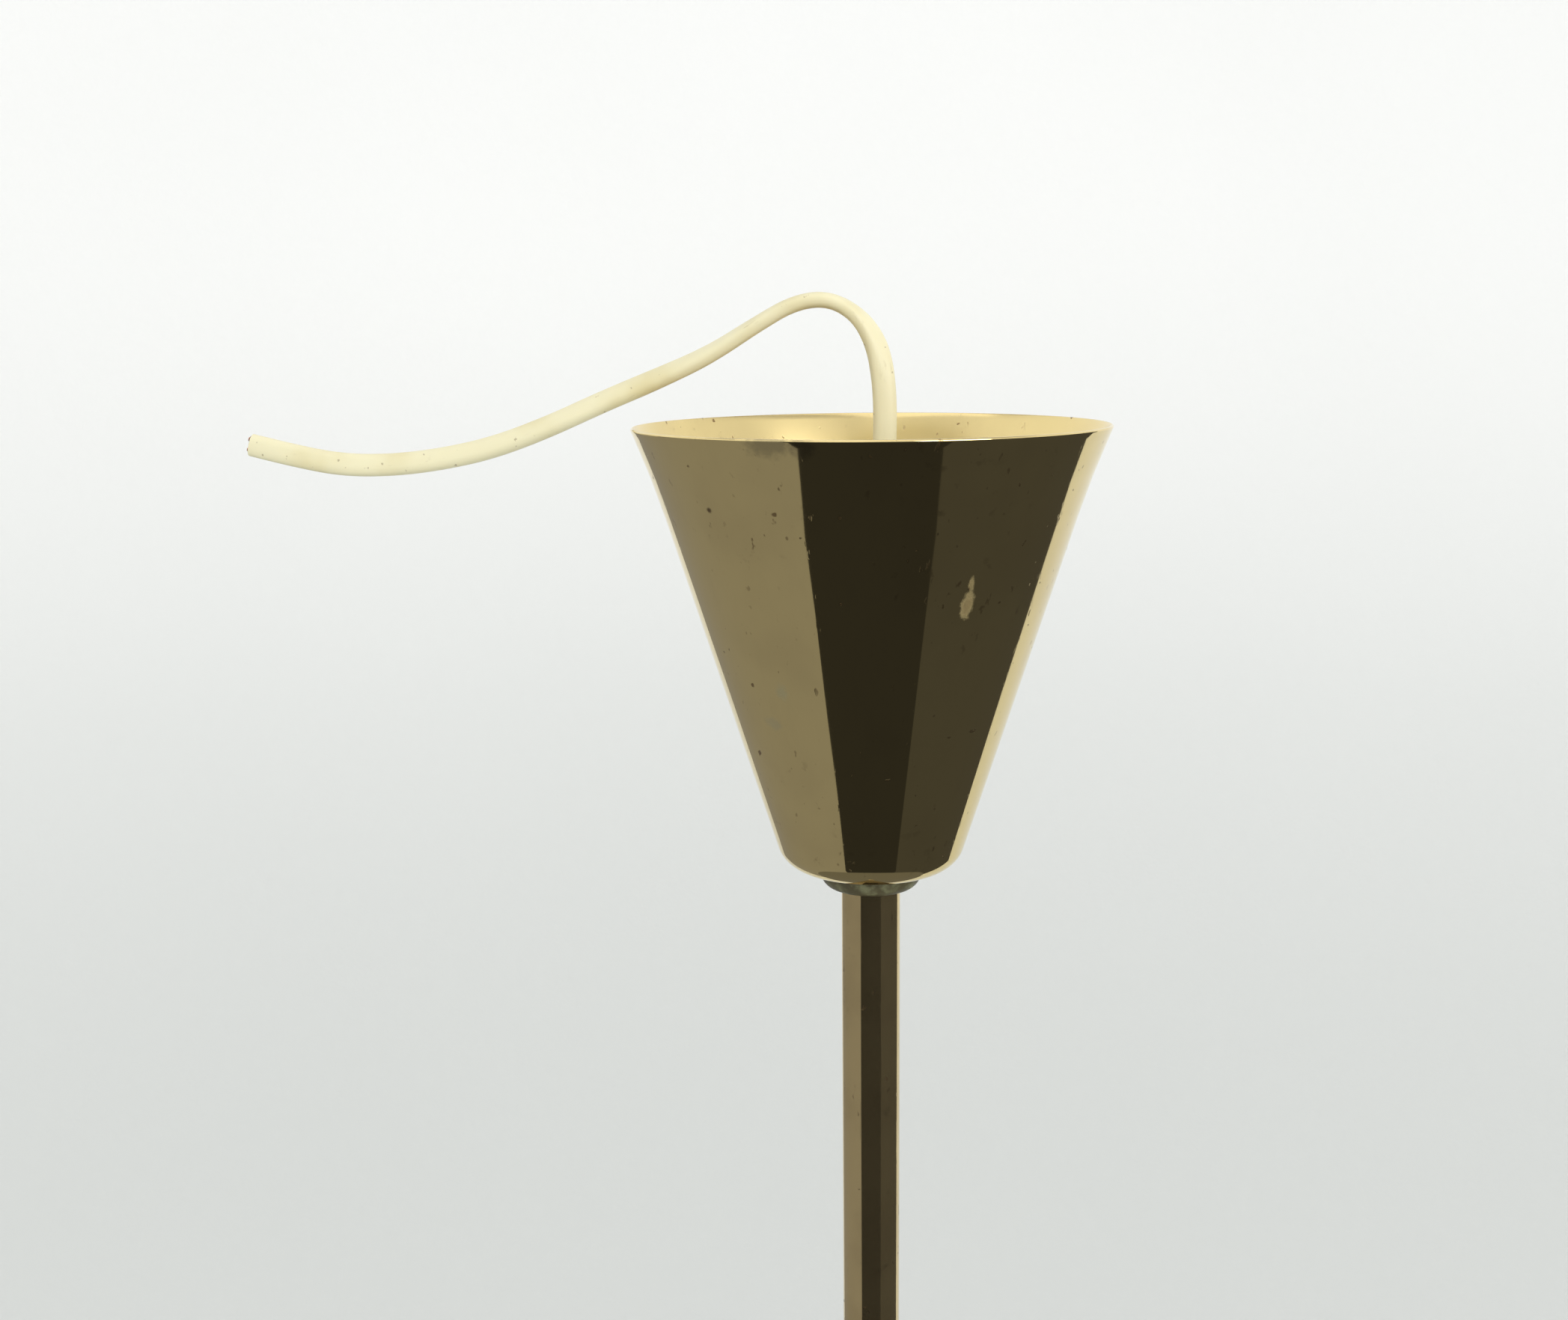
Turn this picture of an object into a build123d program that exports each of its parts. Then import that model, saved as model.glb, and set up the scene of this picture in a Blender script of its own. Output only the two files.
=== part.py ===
# Suspension of a brass ceiling pendant: conical ceiling cup, rubber grommet, stem,
# hook yoke, cord grip and the supply cable. Millimetres, +Z up.
# The origin is the centre of the arch of the hook yoke, which hangs on the ceiling hook.
import math
import os

from build123d import *

os.makedirs("parts", exist_ok=True)

# Hook yoke
yoke_inner_radius = 13.0
yoke_strip = 2.0
yoke_width = 12.0
yoke_foot_z = -48.0
yoke_inner_corner = 2.0

# Stem: 13 mm lamp tube, threaded M10x1 at both ends
stem_radius = 6.5
stem_bore_radius = 4.5
stem_length = 200.0
thread_bore_radius = 5.0
thread_bore_depth = 12.2
nipple_radius = 4.98
nipple_bore_radius = 4.0
nipple_chamfer = 0.5
nipple_engagement = 12.0
stem_thread_length = 10.0
thread_undercut_length = 0.8
thread_undercut_radius = 4.5

# Fasteners
nut_flats = 14.0
nut_height = 3.0
nut_corner_cut = 0.6
lock_washer_thickness = 0.8
plain_washer_thickness = 1.0
washer_radius = 9.0
washer_hole_radius = 5.3
washer_teeth = 12
washer_notch_depth = 2.0
washer_notch_width = 1.6

# Ceiling cup: spun sheet, a straight cone that flares a little under the rim
rim_z = 39.0
cup_height = 96.7
cup_sheet = 0.8
rim_outer_radius = 50.6
flare_corner_drop = 9.9
flare_corner_radius = 46.6
flare_bend_radius = 200.0
cone_foot_radius = 18.8
foot_bend_radius = 6.1
cup_hole_radius = 7.6

# Rubber grommet between the cup and the stem
grommet_bore_radius = 6.55
grommet_neck_radius = 7.5
grommet_groove_gap = 0.1
grommet_lip_radius = 9.6
grommet_lip_height = 2.0
grommet_flange_radius = 11.35
grommet_flange_edge = 0.8
grommet_foot_radius = 8.8
grommet_foot_height = 4.7

# Cord grip on top of the nipple, with its side screw towards -Y
grip_hex_flats = 15.0
grip_hex_height = 7.0
grip_radius = 7.0
grip_height = 16.0
grip_thread_depth = 7.0
grip_roof = 1.5
channel_half_width = 3.05
channel_front_y = -4.7
channel_back_y = 1.9
cable_slot_length = 5.8
cable_slot_width = 4.0
pad_size = (5.2, 1.2, 5.2)
pad_front_y = -2.95
grip_screw_z_up = 10.5
screw_radius = 1.95
screw_hole_radius = 2.0
screw_tip_y = -3.0
screw_head_y = -7.6
screw_head_radius = 3.2
screw_head_height = 2.0
screw_slot_width = 0.9
screw_slot_depth = 1.1

# End bush of the lower nipple
bush_flange_radius = 4.8
bush_flange_height = 1.2
bush_sleeve_radius = 3.9
bush_sleeve_length = 6.0
bush_bore_radius = 3.0

# Cable: flat twin flex, with two insulated cores
cable_width = 5.2
cable_thickness = 3.4
core_radius = 1.0
core_spacing = 2.4
core_depth = 5.0
core_proud = 0.4
conductor_radius = 0.5
conductor_proud = 0.8

# Free cable, from the top of the cord grip to its cut end
cable_route = [
    (0, 0, -26),
    (0, 0, -18.5),
    (0, 2.5, -11),
    (1, 9, 1),
    (2, 12, 13),
    (3.5, 13, 27),
    (4, 13, 40),
    (3.5, 13, 49),
    (2, 13.5, 56),
    (-2, 13.5, 62),
    (-8.5, 14, 65.5),
    (-16, 14.5, 64.5),
    (-24, 15, 60),
    (-34.5, 16, 53.5),
    (-46, 17.5, 48.5),
    (-58.5, 19, 43.5),
    (-71, 20.5, 38),
    (-83.5, 22, 33.5),
    (-95, 24, 31),
    (-107, 26, 29.5),
    (-119, 28, 29.5),
    (-130.5, 30.5, 31.5),
    (-141, 32.5, 34),
]

# Heights that follow from the sizes above
cup_foot_z = rim_z - cup_height
stem_top_z = yoke_foot_z - lock_washer_thickness
stem_foot_z = stem_top_z - stem_length
plain_washer_foot_z = yoke_foot_z + yoke_strip
nut_foot_z = plain_washer_foot_z + plain_washer_thickness
grip_foot_z = nut_foot_z + nut_height
grip_top_z = grip_foot_z + grip_height
lock_nut_top_z = stem_foot_z
lock_nut_foot_z = lock_nut_top_z - nut_height
stem_thread_top_z = lock_nut_foot_z - thread_undercut_length
nipple_foot_z = stem_thread_top_z - stem_thread_length - nipple_chamfer


def turned(profile):
    """A profile drawn as (radius, height), turned about the Z axis."""
    return revolve(Plane.XZ * profile, Axis.Z)


def rod(radius, foot, top):
    """A plain round bar on the Z axis."""
    return Pos(0, 0, foot) * extrude(Circle(radius), top - foot)


def ring(outer, inner, foot, top):
    """A plain tube on the Z axis."""
    return rod(outer, foot, top) - rod(inner, foot, top)


def cup():
    """Ceiling cup: one sheet, from the edge of its hole to its rim."""
    half = cup_sheet / 2
    line = FilletPolyline(
        (cup_hole_radius, cup_foot_z + half),
        (cone_foot_radius, cup_foot_z + half),
        (flare_corner_radius - half, rim_z - flare_corner_drop),
        (rim_outer_radius - half, rim_z - half * 0.37),
        radius=[foot_bend_radius, flare_bend_radius],
    )
    return turned(trace(line, cup_sheet))


def grommet():
    """Rubber grommet: lip, groove for the cup's sheet, domed flange underneath."""
    groove_top = cup_foot_z + cup_sheet + grommet_groove_gap
    groove_foot = cup_foot_z - grommet_groove_gap
    lip_top = groove_top + grommet_lip_height
    edge_foot = groove_foot - grommet_flange_edge
    foot = cup_foot_z - grommet_foot_height
    upper = Polyline(
        (grommet_bore_radius, foot),
        (grommet_bore_radius, lip_top),
        (grommet_lip_radius - 1.0, lip_top),
        (grommet_lip_radius, groove_top + 0.8),
        (grommet_lip_radius, groove_top),
        (grommet_neck_radius, groove_top),
        (grommet_neck_radius, groove_foot),
        (grommet_flange_radius, groove_foot),
        (grommet_flange_radius, edge_foot),
    )
    dome = EllipticalCenterArc(
        (grommet_foot_radius, edge_foot),
        grommet_flange_radius - grommet_foot_radius,
        edge_foot - foot,
        start_angle=270,
        arc_size=90,
    )
    sole = Line((grommet_foot_radius, foot), (grommet_bore_radius, foot))
    return turned(make_face(Wire(upper.edges() + dome.edges() + sole.edges())))


def stem():
    """Stem tube, with the threaded length of each end at its own bore."""
    tube = ring(stem_radius, stem_bore_radius, stem_foot_z, stem_top_z)
    tube -= rod(thread_bore_radius, stem_top_z - thread_bore_depth, stem_top_z)
    tube -= rod(thread_bore_radius, stem_foot_z, stem_foot_z + thread_bore_depth)
    outer = tube.edges().filter_by(GeomType.CIRCLE).filter_by(
        lambda edge: abs(edge.radius - stem_radius) < 0.01
    )
    return chamfer(outer, 0.3)


def nipple(foot, top):
    """Threaded nipple, its two ends chamfered."""
    tube = ring(nipple_radius, nipple_bore_radius, foot, top)
    outer = tube.edges().filter_by(GeomType.CIRCLE).filter_by(
        lambda edge: abs(edge.radius - nipple_radius) < 0.01
    )
    return chamfer(outer, nipple_chamfer)


def lower_nipple():
    """Nipple in the stem's foot, undercut between its free thread and the lock nut."""
    tube = nipple(nipple_foot_z, stem_foot_z + nipple_engagement)
    return tube - ring(
        nipple_radius + 1, thread_undercut_radius, stem_thread_top_z, lock_nut_foot_z
    )


def hex_nut(foot):
    """Hexagon nut with its corners turned off at both faces."""
    apothem = nut_flats / 2
    corner = apothem / math.cos(math.pi / 6)
    body = extrude(RegularPolygon(corner, 6), nut_height)
    body -= extrude(Circle(thread_bore_radius), nut_height)
    cutter = Polyline(
        (0, 0),
        (corner - nut_corner_cut * 1.6, 0),
        (corner, nut_corner_cut),
        (corner, nut_height - nut_corner_cut),
        (corner - nut_corner_cut * 1.6, nut_height),
        (0, nut_height),
        (0, 0),
    )
    return Pos(0, 0, foot) * (body & turned(make_face(cutter)))


def toothed_washer():
    """Lock washer with teeth cut into its outer edge."""
    face = Circle(washer_radius) - Circle(washer_hole_radius)
    notch = Rectangle(washer_notch_depth * 2, washer_notch_width)
    for place in PolarLocations(washer_radius, washer_teeth):
        face -= place * notch
    return Pos(0, 0, stem_top_z) * extrude(face, lock_washer_thickness)


def yoke_outline(radius, foot, corner):
    """Closed outline of the yoke: half a circle on two legs and a flat foot."""
    arch = ThreePointArc((-radius, 0), (0, radius), (radius, 0))
    legs = FilletPolyline(
        (radius, 0), (radius, foot), (-radius, foot), (-radius, 0), radius=corner
    )
    return make_face(Wire(arch.edges() + legs.edges()))


def yoke():
    """Hook yoke: a steel strip bent to a closed loop, with a hole in its foot."""
    outer_radius = yoke_inner_radius + yoke_strip
    outer_corner = yoke_inner_corner + yoke_strip
    outline = yoke_outline(outer_radius, yoke_foot_z, outer_corner)
    outline -= yoke_outline(yoke_inner_radius, plain_washer_foot_z, yoke_inner_corner)
    strip = extrude(Plane.XZ * outline, yoke_width / 2, both=True)
    return strip - rod(thread_bore_radius + 0.1, yoke_foot_z, plain_washer_foot_z)


def slot_prism(length, width, foot, top):
    """A prism with the cable's flat section, its long side along X."""
    return Pos(0, 0, foot) * extrude(SlotOverall(length, width), top - foot)


def grip_body():
    """Cord grip: hexagon below, round above, with a channel for cable and pad."""
    hex_corner = grip_hex_flats / 2 / math.cos(math.pi / 6)
    lower = Pos(0, 0, grip_foot_z) * extrude(RegularPolygon(hex_corner, 6), grip_hex_height)
    upper = rod(grip_radius, grip_foot_z, grip_top_z)
    upper = fillet(upper.edges().sort_by(Axis.Z)[-1], 1.2)
    body = lower + upper
    body -= rod(thread_bore_radius, grip_foot_z, grip_foot_z + grip_thread_depth)
    channel_foot = grip_foot_z + grip_thread_depth
    channel_top = grip_top_z - grip_roof
    body -= Box(
        channel_half_width * 2,
        channel_back_y - channel_front_y,
        channel_top - channel_foot,
        align=(Align.CENTER, Align.MIN, Align.MIN),
    ).moved(Location((0, channel_front_y, channel_foot)))
    body -= slot_prism(cable_slot_length, cable_slot_width, channel_foot, grip_top_z)
    screw_hole = Plane(
        origin=(0, channel_front_y + 0.5, grip_foot_z + grip_screw_z_up), z_dir=(0, -1, 0)
    ) * extrude(Circle(screw_hole_radius), grip_radius)
    return body - screw_hole


def grip_pad():
    """Pressure pad between the side screw and the cable."""
    width, thickness, height = pad_size
    pad = Box(width, thickness, height, align=(Align.CENTER, Align.MIN, Align.CENTER))
    pad = chamfer(pad.edges().filter_by(Axis.X), 0.2)
    return pad.moved(Location((0, pad_front_y, grip_foot_z + grip_screw_z_up)))


def grip_screw():
    """Side screw: round shank and a slotted head."""
    shank_length = screw_tip_y - screw_head_y
    shank = extrude(Circle(screw_radius), shank_length)
    shank = chamfer(shank.edges().sort_by(Axis.Z)[0], 0.4)
    head = Pos(0, 0, shank_length) * extrude(Circle(screw_head_radius), screw_head_height)
    head = fillet(head.edges().sort_by(Axis.Z)[-1], 0.5)
    slot_z = shank_length + screw_head_height - screw_slot_depth / 2
    slot = Pos(0, 0, slot_z) * Box(screw_head_radius * 3, screw_slot_width, screw_slot_depth)
    screw = shank + head - slot
    tip = (0, screw_tip_y, grip_foot_z + grip_screw_z_up)
    return Plane(origin=tip, z_dir=(0, -1, 0)) * screw


def end_bush():
    """Plastic bush that keeps the nipple's edge off the cable."""
    flange = ring(
        bush_flange_radius, bush_bore_radius, nipple_foot_z - bush_flange_height, nipple_foot_z
    )
    flange = fillet(flange.edges().filter_by(GeomType.CIRCLE).sort_by(Axis.Z)[:2], 0.4)
    sleeve = ring(
        bush_sleeve_radius, bush_bore_radius, nipple_foot_z, nipple_foot_z + bush_sleeve_length
    )
    return flange + sleeve


def cable_end_plane():
    """Plane of the free cable's cut end, facing out of the cable, wide side along X."""
    end = Vector(*cable_route[-1])
    direction = (end - Vector(*cable_route[-2])).normalized()
    across = Vector(0, 0, 1) - direction * direction.Z
    return Plane(origin=end, x_dir=across, z_dir=direction)


def core_rods(outer, inner, foot, top):
    """Two parallel rods or tubes in the cable's cut end, one for each core."""
    core = ring(outer, inner, foot, top) if inner else rod(outer, foot, top)
    return [
        cable_end_plane() * Pos(side * core_spacing / 2, 0, 0) * core for side in (-1, 1)
    ]


def route_radii():
    """The bend of each corner of the route: as large as its two runs allow."""
    points = [Vector(*point) for point in cable_route]
    runs = [b - a for a, b in zip(points, points[1:])]
    radii = []
    for before, after in zip(runs, runs[1:]):
        turn = math.radians(before.get_angle(after))
        radii.append(0.45 * min(before.length, after.length) / math.tan(turn / 2))
    return radii


def free_cable():
    """Free cable: a round tube of the cable's width, drilled for its two core ends."""
    radii = route_radii()
    path = FilletPolyline(*cable_route, radius=radii)
    start = Plane(origin=cable_route[0], z_dir=(0, 0, 1))
    tube = sweep(start * Circle(cable_width / 2), path=path)
    expected = math.pi * (cable_width / 2) ** 2 * path.length
    print("cable radii", [round(radius, 1) for radius in radii])
    print("cable length", round(path.length, 1), "volume ratio", tube.volume / expected)
    for drill in core_rods(core_radius, 0, -core_depth, 1.0):
        tube -= drill
    return tube


def held_cable():
    """The cable's straight length through the stem, up to the top of the cord grip."""
    return slot_prism(cable_width, cable_thickness, nipple_foot_z, grip_top_z)


cores = core_rods(core_radius, conductor_radius, -core_depth, core_proud)
conductors = core_rods(conductor_radius, 0, -core_depth, conductor_proud)

parts = {
    "canopy_cup": cup(),
    "canopy_grommet": grommet(),
    "stem_tube": stem(),
    "top_nipple": nipple(stem_top_z - nipple_engagement, grip_foot_z + grip_thread_depth - 0.2),
    "toothed_washer": toothed_washer(),
    "hook_yoke": yoke(),
    "plain_washer": ring(washer_radius, washer_hole_radius, plain_washer_foot_z, nut_foot_z),
    "yoke_nut": hex_nut(nut_foot_z),
    "cord_grip_body": grip_body(),
    "cord_grip_pad": grip_pad(),
    "cord_grip_screw": grip_screw(),
    "lower_nipple": lower_nipple(),
    "lower_lock_nut": hex_nut(lock_nut_foot_z),
    "lower_end_bush": end_bush(),
    "cable_in_stem": held_cable(),
    "supply_cable": free_cable(),
    "core_blue": cores[0],
    "core_brown": cores[1],
    "conductor_blue_core": conductors[0],
    "conductor_brown_core": conductors[1],
}

for node, shape in parts.items():
    export_step(shape, f"parts/{node}.step")
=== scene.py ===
import math

import bpy
from mathutils import Matrix, Vector


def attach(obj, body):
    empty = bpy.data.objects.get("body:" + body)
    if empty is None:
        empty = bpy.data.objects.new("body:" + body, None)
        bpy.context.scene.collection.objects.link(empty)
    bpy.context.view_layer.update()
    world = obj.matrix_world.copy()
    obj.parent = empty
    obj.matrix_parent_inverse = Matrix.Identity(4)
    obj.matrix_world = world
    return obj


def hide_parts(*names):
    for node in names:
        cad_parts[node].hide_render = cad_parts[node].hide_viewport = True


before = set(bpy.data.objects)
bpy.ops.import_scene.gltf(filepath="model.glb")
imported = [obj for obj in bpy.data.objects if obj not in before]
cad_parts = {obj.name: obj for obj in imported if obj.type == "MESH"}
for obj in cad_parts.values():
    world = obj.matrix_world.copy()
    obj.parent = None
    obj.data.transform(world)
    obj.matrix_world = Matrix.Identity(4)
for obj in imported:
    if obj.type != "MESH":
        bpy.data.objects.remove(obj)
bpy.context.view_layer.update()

# Sizes and places are in millimetres; mm turns them into metres.
mm = 0.001
bpy.context.scene.view_settings.view_transform = "Standard"
bpy.context.tool_settings.mesh_select_mode = (True, False, False)


def paint(red, green, blue):
    # a colour given by screen values from 0 to 255, as linear light
    shades = [value / 255 for value in (red, green, blue)]
    return [((shade + 0.055) / 1.055) ** 2.4 if shade > 0.04 else shade / 12.92 for shade in shades] + [1.0]


# Camera, at eye height just above the cup's rim

cameraFacts = {
    "place": (-18.79, -365.5, 59.5),
    "pitch": 11.0,  # degrees down
    "roll": -0.62,
    "lens": 39.39,
    "sensor": 36.0,
}


def placeCamera(facts):
    camera = bpy.data.objects.new("camera", bpy.data.cameras.new("camera"))
    bpy.context.scene.collection.objects.link(camera)
    camera.data.lens = facts["lens"]
    camera.data.sensor_width = facts["sensor"]
    pitch = Matrix.Rotation(math.radians(90 - facts["pitch"]), 4, "X")
    roll = Matrix.Rotation(math.radians(facts["roll"]), 4, "Z")
    camera.matrix_world = Matrix.Translation(Vector(facts["place"]) * mm) @ pitch @ roll
    bpy.context.scene.camera = camera


placeCamera(cameraFacts)
print("camera placed")


# Materials: a Wire is one node's output, and arithmetic on it adds Math nodes

class Wire:
    def __init__(self, finish, socket):
        self.finish = finish
        self.socket = socket

    def math(self, operation, *values):
        return self.finish.node("Math", {"operation": operation}, dict(enumerate(values)))

    def __add__(self, other):
        return self.math("ADD", self, other)

    def __radd__(self, other):
        return self.math("ADD", other, self)

    def __sub__(self, other):
        return self.math("SUBTRACT", self, other)

    def __rsub__(self, other):
        return self.math("SUBTRACT", other, self)

    def __mul__(self, other):
        return self.math("MULTIPLY", self, other)

    def __rmul__(self, other):
        return self.math("MULTIPLY", other, self)

    def __truediv__(self, other):
        return self.math("DIVIDE", self, other)

    def between(self, low, high):
        # 0 below low, 1 above high, smooth between; low may be the larger one
        if low > high:
            return 1 - self.between(high, low)
        values = {"Value": self, "From Min": low, "From Max": high}
        return self.finish.node("MapRange", {"interpolation_type": "SMOOTHSTEP"}, values)


class Finish:
    def __init__(self, name, roughness=0.5, metallic=0.0):
        self.material = bpy.data.materials.new(name)
        self.material.use_nodes = True
        self.tree = self.material.node_tree
        self.shader = self.tree.nodes["Principled BSDF"]
        self.set("Roughness", roughness)
        self.set("Metallic", metallic)

    def node(self, kind, settings=None, values=None, output=0):
        made = self.tree.nodes.new("ShaderNode" + kind)
        for name, value in (settings or {}).items():
            setattr(made, name, value)
        for socket, value in (values or {}).items():
            self.feed(made.inputs[socket], value)
        return Wire(self, made.outputs[output])

    def feed(self, socket, value):
        if isinstance(value, Wire):
            self.tree.links.new(value.socket, socket)
        else:
            socket.default_value = value

    def set(self, socket, value):
        self.feed(self.shader.inputs[socket], value)

    def place(self):
        return self.node("TexCoord", output="Object")

    def axes(self, vector):
        return [self.node("SeparateXYZ", None, {0: vector}, axis) for axis in range(3)]

    def stretched(self, vector, scale):
        return self.node("VectorMath", {"operation": "MULTIPLY"}, {0: vector, 1: scale})

    def noise(self, vector, scale, detail=3.0, roughness=0.5):
        values = {"Vector": vector, "Scale": scale, "Detail": detail, "Roughness": roughness}
        return self.node("TexNoise", None, values)

    def mix(self, factor, first, second):
        settings = {"data_type": "RGBA"}
        return self.node("Mix", settings, {0: factor, 6: first, 7: second}, 2)

    def bump(self, height, distance):
        self.set("Normal", self.node("Bump", None, {"Distance": distance, "Height": height}))

    def spot(self, vector, centre, size, wobble, edge):
        # 1 inside a ragged patch of that size round a point, both in millimetres
        away = self.node("VectorMath", {"operation": "SUBTRACT"}, {0: vector, 1: Vector(centre) * mm})
        away = self.stretched(away, [1 / (side * mm) for side in size])
        length = self.node("VectorMath", {"operation": "LENGTH"}, {0: away}, "Value")
        return (length + (wobble - 0.5) * 1.2).between(*edge)


# Surroundings: a pale bowl with a floor, and plain grey flags that only polished metal mirrors

surroundings = {
    "floorHeight": -800.0,
    "floorRadius": 900.0,
    "wallRadius": 1400.0,
    "wallTop": 1500.0,
    "floorShade": paint(208, 210, 208),
    "wallShade": paint(244, 244, 243),
    "worldShade": paint(250, 250, 252),
    "worldStrength": 0.55,
    "glow": 0.18,
    "flagFoot": -790.0,
    "flagTop": 60.0,
    "flagRadius": 500.0,
}
flagSegments = 180  # two degrees each
flagMargin = 0.5  # degrees, so that both end edges stay

# one even grey each, in degrees round the object from the front, + towards +X
flags = [
    {"name": "leftFlag", "from": -150, "to": -42, "grey": 0.27},
    {"name": "frontFlag", "from": -42, "to": 36, "grey": 0.028},
    {"name": "rightFlag", "from": 36, "to": 122, "grey": 0.063},
]
floorFlag = {"name": "floorFlag", "grey": 0.15}


def flagFinish(facts):
    finish = Finish(facts["name"], roughness=1.0)
    grey = facts["grey"]
    finish.set("Base Color", (0.0, 0.0, 0.0, 1.0))
    finish.set("Specular IOR Level", 0.0)
    finish.set("Emission Color", (grey, grey, grey, 1.0))
    finish.set("Emission Strength", 1.0)
    return finish.material


def bowlFinish(facts):
    finish = Finish("bowl", roughness=0.9)
    height = finish.axes(finish.place())[2]
    shade = finish.mix(height.between(-0.8, 0.2), facts["floorShade"], facts["wallShade"])
    cloud = finish.noise(finish.place(), 1.6, 2.0)
    finish.set("Base Color", finish.mix(cloud * 0.25, shade, facts["floorShade"]))
    finish.bump(finish.noise(finish.place(), 220.0), 0.0002)
    finish.set("Specular IOR Level", 0.1)
    finish.set("Emission Color", shade)
    finish.set("Emission Strength", facts["glow"])
    return finish.material


# Modelling helpers

def begin():
    bpy.ops.object.select_all(action="DESELECT")


def pick(piece, test):
    # selects the vertices that pass the test, and goes into edit mode
    mesh = piece.data
    mesh.polygons.foreach_set("select", [False] * len(mesh.polygons))
    mesh.edges.foreach_set("select", [False] * len(mesh.edges))
    mesh.vertices.foreach_set("select", [bool(test(vertex.co)) for vertex in mesh.vertices])
    bpy.ops.object.mode_set(mode="EDIT")


def leaveEdit():
    bpy.ops.object.mode_set(mode="OBJECT")


def nameNew(name):
    piece = bpy.context.object
    piece.name = name
    piece.data.name = name
    bpy.ops.object.transform_apply(location=True, rotation=True, scale=True)
    return piece


def applyModifier(piece, kind, **settings):
    begin()
    piece.select_set(True)
    bpy.context.view_layer.objects.active = piece
    modifier = piece.modifiers.new(kind.lower(), kind)
    for name, value in settings.items():
        setattr(modifier, name, value)
    bpy.ops.object.modifier_apply(modifier=modifier.name)


def softenEdges(piece, width, segments=2, angle=35):
    settings = {"width": width * mm, "segments": segments, "angle_limit": math.radians(angle)}
    applyModifier(piece, "BEVEL", limit_method="ANGLE", **settings)


def carve(piece, cutter, operation="DIFFERENCE"):
    applyModifier(piece, "BOOLEAN", operation=operation, object=cutter, solver="EXACT")
    bpy.data.objects.remove(cutter)


def smooth(piece, angle=35):
    begin()
    piece.select_set(True)
    bpy.context.view_layer.objects.active = piece
    bpy.ops.object.shade_smooth_by_angle(angle=math.radians(angle))


def settle(piece, body, slotName, material, *replaced):
    # the last step of every piece: its finish, its body and what it stands for
    piece.data.materials.clear()
    piece.data.materials.append(material)
    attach(piece, body)
    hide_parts(*replaced)
    print("made", piece.name)


def roundedLine(corners, bends, stepDegrees=8):
    # corners joined by straight lines, each inner corner rounded by its bend radius
    points = [Vector(corners[0])]
    for before, corner, after, bend in zip(corners, corners[1:], corners[2:], bends):
        back = (Vector(before) - Vector(corner)).normalized()
        ahead = (Vector(after) - Vector(corner)).normalized()
        half = back.angle(ahead) / 2
        reach = bend / math.tan(half)
        centre = Vector(corner) + (back + ahead).normalized() * bend / math.sin(half)
        spoke = Vector(corner) + back * reach - centre
        goal = Vector(corner) + ahead * reach - centre
        turn = math.atan2(spoke.x * goal.y - spoke.y * goal.x, spoke.dot(goal))
        steps = max(2, math.ceil(abs(math.degrees(turn)) / stepDegrees))
        for step in range(steps + 1):
            points.append(centre + Matrix.Rotation(turn * step / steps, 2) @ spoke)
    points.append(Vector(corners[-1]))
    return points


def roundedLoop(corners, bends, stepDegrees=15):
    # the same, for a closed outline; it starts and ends in the middle of its last side
    start = (Vector(corners[0]) + Vector(corners[-1])) / 2
    return roundedLine([start, *corners, start], bends, stepDegrees)


def turnPiece(name, outline, segments, capped=False):
    # a ring of edges at the first (radius, height), extruded along the outline ring by ring
    begin()
    radius, height = outline[0]
    bpy.ops.mesh.primitive_circle_add(vertices=segments, radius=radius * mm, location=(0, 0, height * mm))
    piece = nameNew(name)
    bpy.ops.object.mode_set(mode="EDIT")
    bpy.ops.mesh.select_all(action="SELECT")
    for nextRadius, nextHeight in outline[1:]:
        lift = {"value": (0, 0, (nextHeight - height) * mm)}
        bpy.ops.mesh.extrude_edges_move(TRANSFORM_OT_translate=lift)
        if nextRadius != radius:
            grow = nextRadius / radius
            bpy.ops.transform.resize(value=(grow, grow, 1), center_override=(0, 0, nextHeight * mm))
        radius, height = nextRadius, nextHeight
    bpy.ops.mesh.select_all(action="SELECT")
    bpy.ops.mesh.remove_doubles(threshold=0.002 * mm)
    if capped:
        bpy.ops.mesh.fill_holes(sides=0)
        bpy.ops.mesh.select_all(action="SELECT")
    bpy.ops.mesh.normals_make_consistent(inside=False)
    leaveEdit()
    return piece


def chainPiece(name, points):
    # one vertex, extruded from point to point: a bent wire of edges
    begin()
    bpy.ops.mesh.primitive_plane_add(size=mm)
    piece = nameNew(name)
    bpy.ops.object.mode_set(mode="EDIT")
    bpy.ops.mesh.select_all(action="SELECT")
    bpy.ops.mesh.merge(type="CENTER")
    bpy.ops.transform.translate(value=Vector(points[0]) * mm)
    for before, after in zip(points, points[1:]):
        step = (Vector(after) - Vector(before)) * mm
        bpy.ops.mesh.extrude_vertices_move(TRANSFORM_OT_translate={"value": step})
    leaveEdit()
    return piece


def boxPiece(name, low, high):
    begin()
    centre = (Vector(low) + Vector(high)) / 2
    bpy.ops.mesh.primitive_cube_add(size=mm, location=centre * mm, scale=Vector(high) - Vector(low))
    return nameNew(name)


def rodPiece(name, radius, foot, top, sides=64, turn=0.0):
    begin()
    place = (0, 0, (foot + top) / 2 * mm)
    bpy.ops.mesh.primitive_cylinder_add(
        vertices=sides, radius=radius * mm, depth=(top - foot) * mm, location=place, rotation=(0, 0, turn)
    )
    return nameNew(name)


# Stage

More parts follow.
